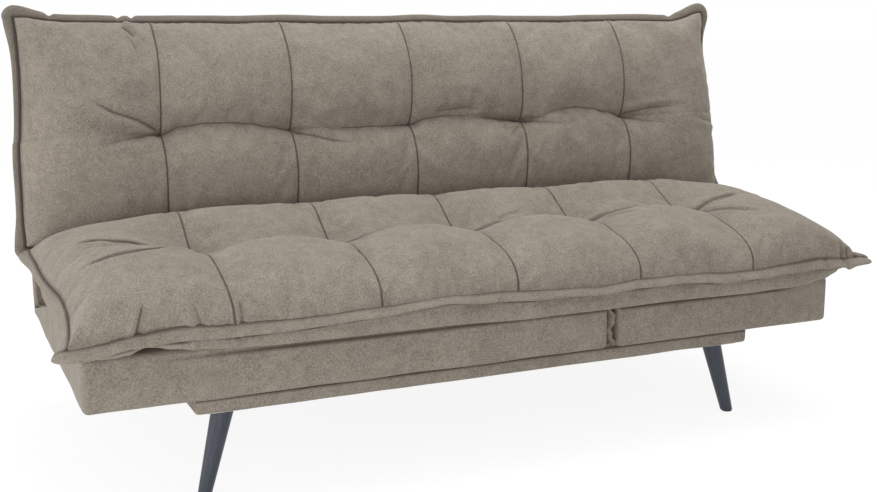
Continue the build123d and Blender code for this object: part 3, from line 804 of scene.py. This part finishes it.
border = {
    # inset from the flange seam, share of the way down
    "rings": (
        (0.012, 0.10), (0.009, 0.18), (0.007, 0.24), (0.006, 0.29), (0.005, 0.34), (0.004, 0.39),
        (0.004, 0.44), (0.004, 0.49), (0.003, 0.62), (0.005, 0.82), (0.011, 0.96), (0.020, 1.0),
        (0.038, 0.93),
    ),
    "shade": (0.95, 0.0065, 0.004),  # painted shadow under the ribbon: darkness, how far below its edge, how soon it ends
    "low": (  # height of its lower edge along the front
        (-0.88, 0.345), (-0.850, 0.334), (-0.825, 0.322), (-0.796, 0.322), (-0.762, 0.327), (-0.741, 0.336),
        (-0.725, 0.333), (-0.694, 0.326), (-0.642, 0.319), (-0.571, 0.314), (-0.498, 0.312), (-0.157, 0.310),
        (0.027, 0.305), (0.200, 0.306), (0.390, 0.308), (0.605, 0.306), (0.700, 0.308), (0.745, 0.311),
        (0.800, 0.320), (0.850, 0.335), (0.88, 0.345),
    ),
    "sideReach": 0.07,  # behind the front it rises to the pad's floor over this length
    "endShare": 0.35,  # and over this share of it at the ends
    "cornerReach": 0.035,
    "cornerFold": (0.014, 0.8),  # at a corner: height of what is left, and how fully it folds away
    "sideTuck": 0.014,  # the ends lie further in, behind the ribbon
    "ripple": 0.002,
}


def seatRing(anchor, out, ring):
    inset, share = ring
    side = "front" if out.y else "left" if out.x < 0 else "right"
    hidden = seatFlange["width"][side] * math.sin(seatDroop(anchor.x, anchor.y - seatFront, side))
    reach = border["sideReach"] * (border["endShare"] if out.x else 1)
    front = math.exp(-((anchor.y - seatFront) / reach) ** 2)
    low = seatFloor + (along(border["low"], anchor.x) - seatFloor) * front
    toCorner = math.hypot(abs(anchor.x) - seatPad["half"], anchor.y - seatFront)
    left, folds = border["cornerFold"]
    low += (anchor.z - left - low) * folds * math.exp(-(toCorner / border["cornerReach"]) ** 2)
    inset += border["sideTuck"] * abs(out.x) * min(share * 3, 1)
    ripple = border["ripple"] * wave((anchor.x, anchor.y, share), 9, 2)
    # painted shadow that the ribbon casts on the border just below it
    darkness, below, ends = border["shade"]
    dark = darkness * smoothStep((hidden + below + ends - (anchor.z - low) * share) / ends)
    return Vector((
        anchor.x - out.x * (inset + ripple),
        anchor.y - out.y * (inset + ripple),
        anchor.z + (low - anchor.z) * share,
    )), dark


backRings = ((0.010, 0.0012, 0.8), (0.020, 0.0020, 0.6))  # inset, drop and crease shade


def backRing(anchor, out, ring):
    inset, drop, dark = ring
    place = anchor - Vector((1, 0, 0)) * out.x * inset
    return place - backUp * out.y * inset - backOut * drop, dark


# flange ribbons sewn into the pads' edge seams, with ears at the corners
ribbonShape = (
    # share of the width, share of the thickness, crease shade
    (-0.16, 0.3, 0.9), (0.03, 0.42, 0.75), (0.10, 0.5, 0.1), (0.22, 0.5, 0.0), (0.28, 0.45, 0.12),
    (0.34, 0.5, 0.0), (0.62, 0.52, 0.0), (0.90, 0.48, 0.0), (1.0, 0.25, 0.0), (1.02, 0.0, 0.0),
    (1.0, -0.25, 0.0), (0.90, -0.48, 0.0), (0.50, -0.5, 0.0), (0.05, -0.5, 0.5), (-0.16, -0.5, 0.9),
    (-0.16, 0.3, 0.9),
)
ribbonSet = {
    "widthWave": 0.10,
    "seamWave": 0.0018,
    "earLevel": 0.6,  # how far the ears at the corners lose their droop
    "tuckWidth": 0.08,  # what a tuck does to the width, the droop, the height and the shade
    "tuckDroop": 0.25,
    "tuckDrop": 0.002,
    "tuckShade": 0.5,
    "cornerSteps": 9,
    "weaveStep": 0.0034,  # metres of cloth from one station to the next
}
seatFlange = {
    "width": {"left": 0.016, "front": 0.024, "right": 0.026},
    "thick": 0.0065,
    "ear": 0.45,  # how much wider the corners are
    "flare": 0.050,  # and how far from the corner that reaches
    "dusk": ((0, 0.7), (0.3, 0.34), (1, 0.30)),  # the pad shades the ribbon by the seam
    "droop": (  # turn below the pad's plane along the front, in radians
        (-0.88, 0.75), (-0.80, 0.65), (-0.70, 0.95), (-0.58, 0.80), (-0.46, 0.65), (-0.34, 0.55),
        (-0.21, 0.28), (-0.12, 0.36), (0.0, 0.60), (0.19, 0.38), (0.30, 0.62), (0.39, 0.48), (0.49, 0.78),
        (0.58, 0.60), (0.69, 0.60), (0.77, 0.70), (0.88, 0.5),
    ),
    "sideDroop": {"left": 1.05, "right": 0.35},
    "droopWave": 0.12,
    "tucks": (  # side, place along it and half width
        ("front", -0.745, 0.012), ("front", 0.790, 0.007), ("front", 0.845, 0.008), ("left", 0.150, 0.018),
    ),
}
backFlange = {
    "width": {"left": 0.019, "front": 0.022, "right": 0.026, "rear": 0.025},
    "thick": 0.0065,
    "ear": 0.15,
    "flare": 0.045,
    "dusk": ((0, 0.95), (0.35, 0.62), (1, 0.40)),
    "sideDroop": {"rear": 0.72, "left": 0.95, "right": 0.90, "front": 0.2},
    "droopWave": 0.20,
    "tucks": (
        ("rear", -0.800, 0.007), ("rear", -0.655, 0.007), ("rear", -0.625, 0.006), ("rear", 0.800, 0.012),
    ),
}


def edgeWalk(spec, side):
    wide = 2 * spec["columns"] * spec["cells"][0]
    deep = 4 * spec["cells"][1]
    if side in ("left", "right"):
        return [(-1, 1 - j / deep) if side == "left" else (1, j / deep) for j in range(deep + 1)]
    return [(2 * i / wide - 1, 0) if side == "front" else (1 - 2 * i / wide, 1) for i in range(wide + 1)]


sideOut = {"left": Vector((-1, 0)), "front": Vector((0, -1)), "right": Vector((1, 0)), "rear": Vector((0, 1))}


def tuckAt(flange, side, x, s):
    place = x if side in ("front", "rear") else s
    tuck = 0.0
    for edge, spot, wide in flange["tucks"]:
        if edge == side:
            tuck = max(tuck, math.exp(-((place - spot) / wide) ** 2))
    return tuck


def ribbonStations(spec, flange, sides, droopAt):
    # each station: pad point, outward direction in the pad's plane, droop, width and tuck
    tips = [padPoint(spec, u, v) for u in (-1, 1) for v in (0, 1)]
    followers = sides[1:] + (sides[:1] if len(sides) == 4 else (None,))
    stations = []
    for edge, follower in zip(sides, followers):
        for u, v in edgeWalk(spec, edge):
            x, s, n = padPoint(spec, u, v)
            tuck = tuckAt(flange, edge, x, s)
            toTip = min((x - cx) ** 2 + (s - cs) ** 2 for cx, cs, _ in tips)
            near = math.exp(-toTip / flange["flare"] ** 2)
            swell = (1 + flange["ear"] * near) * (1 - ribbonSet["tuckWidth"] * tuck)
            swell *= 1 + ribbonSet["widthWave"] * wave((x, s, 5), 11, 31)
            droop = droopAt(x, s, edge) * (1 - ribbonSet["earLevel"] * near) + ribbonSet["tuckDroop"] * tuck
            lift = ribbonSet["seamWave"] * wave((x, s, 3), 16, 17)
            point = Vector((x, s, n + lift - ribbonSet["tuckDrop"] * tuck))
            stations.append((point, sideOut[edge], droop, flange["width"][edge] * swell, tuck))
        if follower:
            turned = droopAt(x, s, follower) * (1 - ribbonSet["earLevel"] * near)
            for step in range(1, ribbonSet["cornerSteps"] + 1):
                part = step / ribbonSet["cornerSteps"]
                aim = sideOut[edge].lerp(sideOut[follower], part).normalized()
                width = flange["width"][edge] * (1 - part) + flange["width"][follower] * part
                stations.append((point, aim, droop + (turned - droop) * part, width * swell, 0.0))
    return stations


def ribbon(name, flange, stations, place, direction):
    bm = bmesh.new()
    count, around = len(stations) - 1, len(ribbonShape) - 1
    bmesh.ops.create_grid(bm, x_segments=count, y_segments=around, size=0.5)
    shade = bm.verts.layers.float.new("seamShade")
    layer = bm.loops.layers.uv.new("weave")
    spots = {}
    for vert in bm.verts:
        i = round((vert.co.x + 0.5) * count)
        j = round((vert.co.y + 0.5) * around)
        point, aim, droop, width, tuck = stations[i]
        share, thick, dark = ribbonShape[j]
        reach = width * share
        lift = flange["thick"] * thick
        outStep = reach * math.cos(droop) + lift * math.sin(droop)
        upStep = lift * math.cos(droop) - reach * math.sin(droop)
        vert.co = place(*point) + direction(aim.x * outStep, aim.y * outStep, upStep)
        dusk = along(flange["dusk"], share) if thick > 0 else 0
        vert[shade] = max(dark, ribbonSet["tuckShade"] * tuck ** 6, dusk)
        spots[vert] = (i * ribbonSet["weaveStep"], reach)
    for face in bm.faces:
        for loop in face.loops:
            loop[layer].uv = spots[loop.vert]
    bmesh.ops.remove_doubles(bm, verts=bm.verts, dist=2e-5)
    bmesh.ops.holes_fill(bm, edges=[edge for edge in bm.edges if edge.is_boundary], sides=0)
    return finishMesh(name, bm, upholstery)


def seatDroop(x, s, side):
    base = along(seatFlange["droop"], x) if side == "front" else seatFlange["sideDroop"][side]
    return base + seatFlange["droopWave"] * wave((x, s, 0), 6, 11)


def backDroop(x, s, side):
    return backFlange["sideDroop"][side] + backFlange["droopWave"] * wave((x, s, 0), 6, 21)


def seatDirection(x, s, n):
    return Vector((x, s, n))


def backDirection(x, s, n):
    return Vector((x, 0, 0)) + backUp * s + backOut * n


seatEdge = ribbonStations(seatPad, seatFlange, ("left", "front", "right"), seatDroop)
seatRibbon = ribbon("seat_ribbon", seatFlange, seatEdge, seatPlace, seatDirection)
backEdge = ribbonStations(backPad, backFlange, ("left", "front", "right", "rear"), backDroop)
backRibbon = ribbon("back_ribbon", backFlange, backEdge, backPlace, backDirection)
closePad(seatTop, border["rings"], seatRing, (0, 0, 1))
closePad(backTop, backRings, backRing, backOut)
print("ribbons sewn on")


# fabric-covered boxes: soft edges and a slack of a millimetre or two
def cutAt(bm, axis, level):
    spot, normal = [0, 0, 0], [0, 0, 0]
    spot[axis] = level
    normal[axis] = 1
    geometry = bm.verts[:] + bm.edges[:] + bm.faces[:]
    bmesh.ops.bisect_plane(bm, geom=geometry, plane_co=spot, plane_no=normal)


def cutAcross(bm, axis, low, high, pitch):
    count = max(int((high - low) / pitch), 1)
    for index in range(1, count):
        cutAt(bm, axis, low + (high - low) * index / count)


def coveredBox(name, outline, low, high, settings, place=None):
    bm = bmesh.new()
    floorFace = bm.faces.new([bm.verts.new((x, y, low)) for x, y in outline])
    made = bmesh.ops.extrude_face_region(bm, geom=[floorFace])["geom"]
    top = [item for item in made if isinstance(item, bmesh.types.BMVert)]
    bmesh.ops.translate(bm, verts=top, vec=(0, 0, high - low))
    bmesh.ops.recalc_face_normals(bm, faces=bm.faces)
    bmesh.ops.bevel(bm, geom=bm.edges[:], offset=settings["edge"], segments=4, profile=0.5,
                    affect="EDGES", material=-1)
    xs = [x for x, _ in outline]
    ys = [y for _, y in outline]
    cutAcross(bm, 0, min(xs), max(xs), settings["pitch"])
    cutAcross(bm, 1, min(ys), max(ys), settings["pitch"])
    cutAcross(bm, 2, low, high, settings["pitch"])
    dark, middle, half, ends = settings["shade"]
    for step in (-1.5, -0.75, 0, 0.75, 1.5):  # cuts that carry the contact shade
        cutAt(bm, 2, high - middle - half * step)
    shade = bm.verts.layers.float.new("seamShade")
    bm.normal_update()
    weaveFromBox(bm)
    moves = {}
    for vert in bm.verts:
        slack = wave(vert.co, settings["scale"], settings["seed"]) * settings["slack"]
        moves[vert] = vert.normal * (settings["proud"] + slack)
        if vert.normal.y < -0.5:  # the front alone is shaded
            gap = (high - vert.co.z - middle) / half
            vert[shade] = dark * along(ends, vert.co.x) * math.exp(-gap * gap)
    for vert, move in moves.items():
        vert.co += move
        if place:
            vert.co = place(*vert.co)
    return finishMesh(name, bm, upholstery)


boxLow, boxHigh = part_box("seat_box_cover")
headLow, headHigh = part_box("head_box_cover")
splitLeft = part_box("gusset_pleat")[0].x
moveRoom = 0.002  # left for what moves past the covers
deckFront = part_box("seat_deck_rail")[0].y - moveRoom
boxSet = {
    "edge": 0.0085,  # radius of the edges
    "proud": 0.0030,  # how far the cloth stands off its solid
    "pitch": 0.022,
    "scale": 9,
    "slack": 0.0022,
    "seed": 5,
    # contact shade on the front: darkness, how far down, half width, share along x
    "shade": (0.95, 0.0150, 0.0062, ((-0.90, 0), (-0.45, 1), (0.68, 1), (0.80, 0))),
}
seatBoxOutline = (
    (boxLow.x, boxLow.y), (splitLeft, boxLow.y), (splitLeft, deckFront),
    (boxHigh.x, deckFront), (boxHigh.x, boxHigh.y), (boxLow.x, boxHigh.y),
)
headRear = headHigh.y - moveRoom  # clear of the back as the head end tilts
headBoxOutline = (
    (headLow.x, headLow.y), (headHigh.x, headLow.y), (headHigh.x, headRear), (headLow.x, headRear),
)
seatBox = coveredBox("seat_box_fabric", seatBoxOutline, boxLow.z, boxHigh.z, boxSet)
headBox = coveredBox("head_box_fabric", headBoxOutline, headLow.z, headHigh.z, boxSet)

baseLow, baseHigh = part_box("base_cover")
baseSet = {
    "edge": 0.0085,
    "proud": 0.0026,
    "pitch": 0.024,
    "scale": 10,
    "slack": 0.0014,
    "seed": 9,
    "shade": (0.95, 0.0100, 0.0046, ((-1, 1), (1, 1))),
}
baseOutline = (
    (baseLow.x, baseLow.y), (baseHigh.x, baseLow.y), (baseHigh.x, baseHigh.y), (baseLow.x, baseHigh.y),
)
baseBand = coveredBox("base_band_fabric", baseOutline, baseLow.z, baseHigh.z, baseSet)

rearSet = {
    "edge": 0.0055,
    "proud": 0.0006,
    "pitch": 0.024,
    "scale": 7,
    "slack": 0.0006,
    "seed": 14,
    "shade": (0, 0.01, 0.005, ((-1, 0), (1, 0))),
    "s": (0.025, 0.4874),  # from the pivot up the back
    "n": (-0.0788, 0.0178),  # and out of it
}
rearLow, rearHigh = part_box("back_rear_cover")
rearFoot, rearHead = rearSet["s"]
rearOutline = (
    (rearLow.x, rearFoot), (rearHigh.x, rearFoot), (rearHigh.x, rearHead), (rearLow.x, rearHead),
)
rearCover = coveredBox("back_rear_fabric", rearOutline, *rearSet["n"], rearSet, backPlace)
print("boxes covered")


# folded pleat that closes the split of the box: one fold standing between two deep grooves
pleat = {
    "cells": (48, 40),
    "front": 0.002,  # the fold stands this far behind the front of the box
    "deep": 0.020,
    "lens": 0.0100,  # half width of the fold at its middle
    "ruffle": (0.0028, 0.0012),  # slow and quick sway of the fold
    "split": (0.0012, 0.004),  # half width and depth of the line in the fold
    "shade": (0.95, 0.7),  # of the grooves and of that line
    "thick": 0.0014,
    "reach": 0.004,
}
pleatLow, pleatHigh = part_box("gusset_pleat")


def makePleat():
    bm = bmesh.new()
    across, tall = pleat["cells"]
    bmesh.ops.create_grid(bm, x_segments=across, y_segments=tall, size=0.5)
    shade = bm.verts.layers.float.new("seamShade")
    middle = (pleatLow.x + pleatHigh.x) / 2
    wide = pleatHigh.x - pleatLow.x + 2 * pleat["reach"]
    slow, quick = pleat["ruffle"]
    splitWide, splitDeep = pleat["split"]
    grooveShade, splitShade = pleat["shade"]
    for vert in bm.verts:
        share, height = vert.co.x, vert.co.y + 0.5
        lens = pleat["lens"] * (0.35 + 0.65 * math.sin(math.pi * min(height * 1.1, 1)) ** 0.7)
        x = share * wide
        ruffle = slow * math.sin(11 * height + 1.1) + quick * math.sin(29 * height)
        stand = math.exp(-abs((x - ruffle) / lens) ** 3)
        split = math.exp(-((x - ruffle - 0.25 * lens) / splitWide) ** 2) * math.sin(math.pi * height)
        y = pleatLow.y + pleat["front"] + pleat["deep"] * (1 - stand) + splitDeep * split
        vert[shade] = max(grooveShade * (1 - stand), splitShade * split)
        vert.co = (middle + x + ruffle * stand, y, pleatLow.z + (pleatHigh.z - pleatLow.z) * height)
    for face in bm.faces:
        face.normal_update()
    weaveFromBox(bm)
    area = sum(face.calc_area() for face in bm.faces)
    bmesh.ops.solidify(bm, geom=bm.faces[:], thickness=pleat["thick"])
    return finishMesh("split_pleat", bm, upholstery), area


splitPleat, pleatArea = makePleat()
pleatLength = pleatHigh.z - pleatLow.z
pleatArea / pleatLength
print("pleat folded, flat size", pleatArea / pleatLength, pleatLength)

# bodies, and what each piece stands for
fold = {"from": (0.15, 0, 0.4), "to": (0.376, 0, 0.4)}
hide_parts("seat_pad", "head_pad", "seat_fold")
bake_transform(seatTop, "base", "head_end", start=fold["from"], end=fold["to"])
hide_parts("seat_flange", "head_flange", "seat_fold_flange")
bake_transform(seatRibbon, "base", "head_end", start=fold["from"], end=fold["to"])
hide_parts("gusset_pleat")
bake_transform(splitPleat, "base", "head_end", start=(pleatLow.x, 0, 0.26), end=(pleatHigh.x, 0, 0.26))
rides = (
    (backTop, "back", "back_pad"),
    (backRibbon, "back", "back_flange"),
    (rearCover, "back", "back_rear_cover"),
    (seatBox, "base", "seat_box_cover"),
    (headBox, "head_end", "head_box_cover"),
    (baseBand, "base", "base_cover"),
)
for piece, body, node in rides:
    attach(piece, body)
    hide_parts(node)
print("pieces ride on their bodies")


# floor and light
stageSet = {"floor": 60.0, "world": 0.56, "paper": 0.8, "glow": 1.10}


def cameraSees(field):
    path = field.node("ShaderNodeLightPath", {}, {}, 0).socket.node
    seen = Field(field.tree, path.outputs["Is Camera Ray"])
    seen = seen + Field(field.tree, path.outputs["Is Glossy Ray"])
    return (seen + Field(field.tree, path.outputs["Is Transmission Ray"])).clamped()


def makeFloor():
    bm = bmesh.new()
    bmesh.ops.create_grid(bm, x_segments=2, y_segments=2, size=stageSet["floor"] / 2)
    material, shader, field = newMaterial("paper_floor")
    setShader(field, shader, {"Base Color": (0.92, 0.92, 0.92, 1), "Roughness": 0.95})
    glow = field.node("ShaderNodeEmission", {}, {"Color": (1, 1, 1, 1), "Strength": stageSet["glow"]})
    share = cameraSees(field) * stageSet["paper"]
    mixed = field.node("ShaderNodeMixShader", {}, {0: share, 2: glow})
    field.tree.links.new(shader.outputs[0], mixed.socket.node.inputs[1])
    field.tree.links.new(mixed.socket, field.tree.nodes["Material Output"].inputs["Surface"])
    floor = bpy.data.objects.new("floor", bpy.data.meshes.new("floor"))
    bm.to_mesh(floor.data)
    bm.free()
    floor.data.materials.append(material)
    scene.collection.objects.link(floor)


def makeWorld():
    world = bpy.data.worlds.new("studio")
    scene.world = world
    world.use_nodes = True
    field = Field(world.node_tree)
    background = world.node_tree.nodes["Background"]
    background.inputs["Color"].default_value = (1, 1, 1, 1)
    level = cameraSees(field) * (1 - stageSet["world"]) + stageSet["world"]
    field.tree.links.new(level.socket, background.inputs["Strength"])


makeFloor()
makeWorld()


def areaLamp(name, power, size, place, target):
    lamp = bpy.data.lights.new(name, "AREA")
    lamp.energy = power
    lamp.shape = "DISK"
    lamp.size = size
    holder = bpy.data.objects.new(name, lamp)
    holder.location = place
    aim = Vector(target) - Vector(place)
    holder.rotation_euler = aim.to_track_quat("-Z", "Y").to_euler()
    scene.collection.objects.link(holder)


lamps = {
    # watts, size, place and what it looks at
    "overhead": (67.0, 3.0, (0.45, 0.10, 3.4), (0, -0.1, 0.4)),
    "front": (16.5, 1.4, (-1.3, -2.4, 0.60), (-0.3, -0.3, 0.30)),
    "left": (31.0, 2.0, (-3.3, -0.4, 0.7), (-0.4, 0, 0.3)),
}
for lampName, lampSet in lamps.items():
    areaLamp(lampName, *lampSet)
print("floor and lamps placed")
